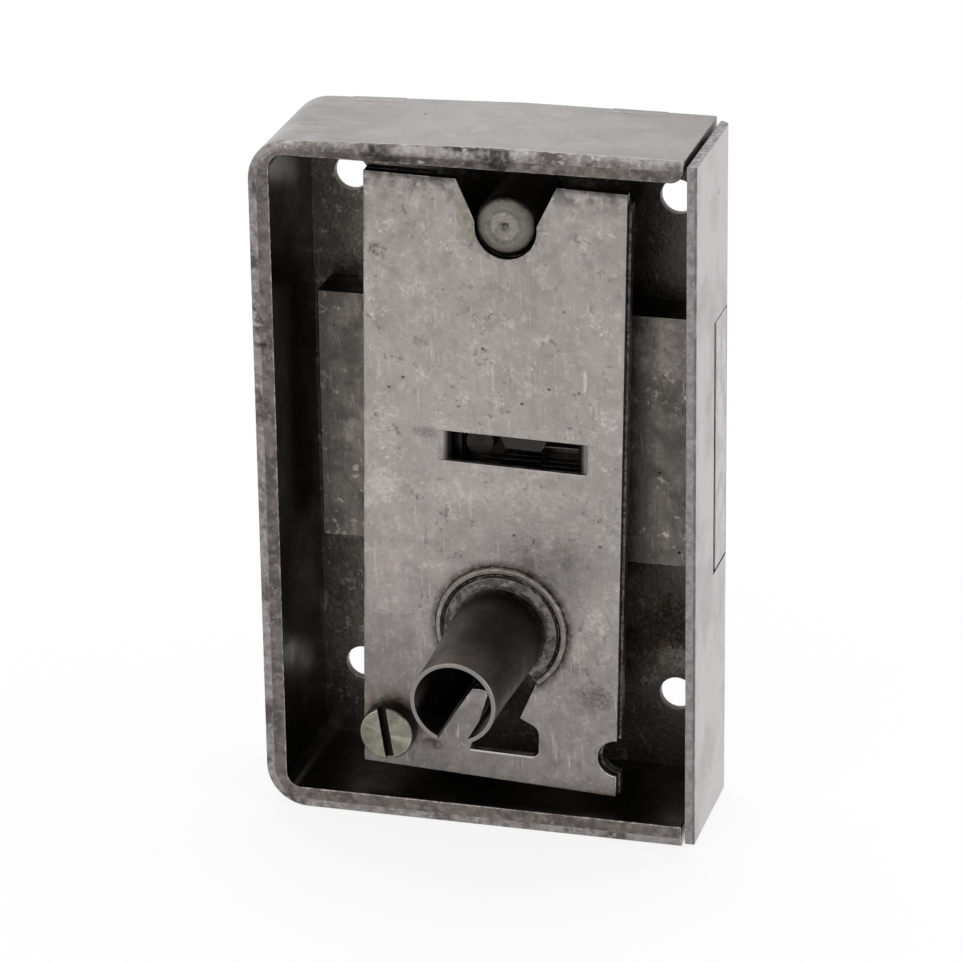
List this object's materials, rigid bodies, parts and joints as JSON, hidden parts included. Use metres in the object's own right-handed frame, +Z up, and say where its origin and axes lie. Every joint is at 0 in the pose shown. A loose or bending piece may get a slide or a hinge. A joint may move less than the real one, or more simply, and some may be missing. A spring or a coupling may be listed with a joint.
{
  "type": "cabinet lock",
  "caption": "Surface cabinet lock with a sliding dead bolt, sprung tumblers, a screwed cap plate and a slotted key tube on a shallow steel case.",
  "frame": {"origin": "on the key tube's axis, in the plane of the case rim that lies on the door", "axes": "+X towards the forend that the bolt slides out of, +Y away from the door into the case, +Z up along the case's height"},
  "size_m": [0.06, 0.0405, 0.0966],
  "materials": {
    "case_steel": "worn satin plating",
    "cover_steel": "mottled dull plating",
    "bolt_steel": "dark, speckled",
    "tube_steel": "worn satin plating",
    "fixing_steel": "worn plating",
    "tumbler_steel": "dull",
    "spring_steel": "dark"
  },
  "bodies": {
    "lock_case": {"back_plate": "case_steel", "cap_plate": "cover_steel", "cap_screw": "fixing_steel", "cap_stud": "fixing_steel", "cover_post_left": "fixing_steel", "cover_post_right": "fixing_steel", "guide_plate": "cover_steel", "key_tube": "tube_steel", "rim": "case_steel", "screw_pillar": "fixing_steel", "tube_collar": "tube_steel", "tumbler_pivot": "fixing_steel"},
    "bolt_body": {"bolt": "bolt_steel", "bolt_stump": "bolt_steel"},
    "tumbler_body_1": {"tumbler_1": "tumbler_steel", "tumbler_spring_1": "spring_steel"},
    "tumbler_body_2": {"tumbler_2": "tumbler_steel", "tumbler_spring_2": "spring_steel"},
    "tumbler_body_3": {"tumbler_3": "tumbler_steel", "tumbler_spring_3": "spring_steel"}
  },
  "joints": [
    {"name": "bolt_throw", "type": "slide", "parent": "lock_case", "child": "bolt_body", "axis": [1, 0, 0], "range_m": [0, 0.011]},
    {"name": "tumbler_lift_1", "type": "hinge", "parent": "lock_case", "child": "tumbler_body_1", "pos_m": [0.013, 0.009, 0.0257], "axis": [0, 1, 0], "range_deg": [-4.5, 5], "stiffness_Nm_per_rad": 0.05, "springref_deg": -11.46, "deforming": ["tumbler_spring_1"]},
    {"name": "tumbler_lift_2", "type": "hinge", "parent": "lock_case", "child": "tumbler_body_2", "pos_m": [0.013, 0.009, 0.0257], "axis": [0, 1, 0], "range_deg": [-4.5, 5], "stiffness_Nm_per_rad": 0.05, "springref_deg": -11.46, "deforming": ["tumbler_spring_2"]},
    {"name": "tumbler_lift_3", "type": "hinge", "parent": "lock_case", "child": "tumbler_body_3", "pos_m": [0.013, 0.009, 0.0257], "axis": [0, 1, 0], "range_deg": [-4.5, 5], "stiffness_Nm_per_rad": 0.05, "springref_deg": -11.46, "deforming": ["tumbler_spring_3"]}
  ]
}
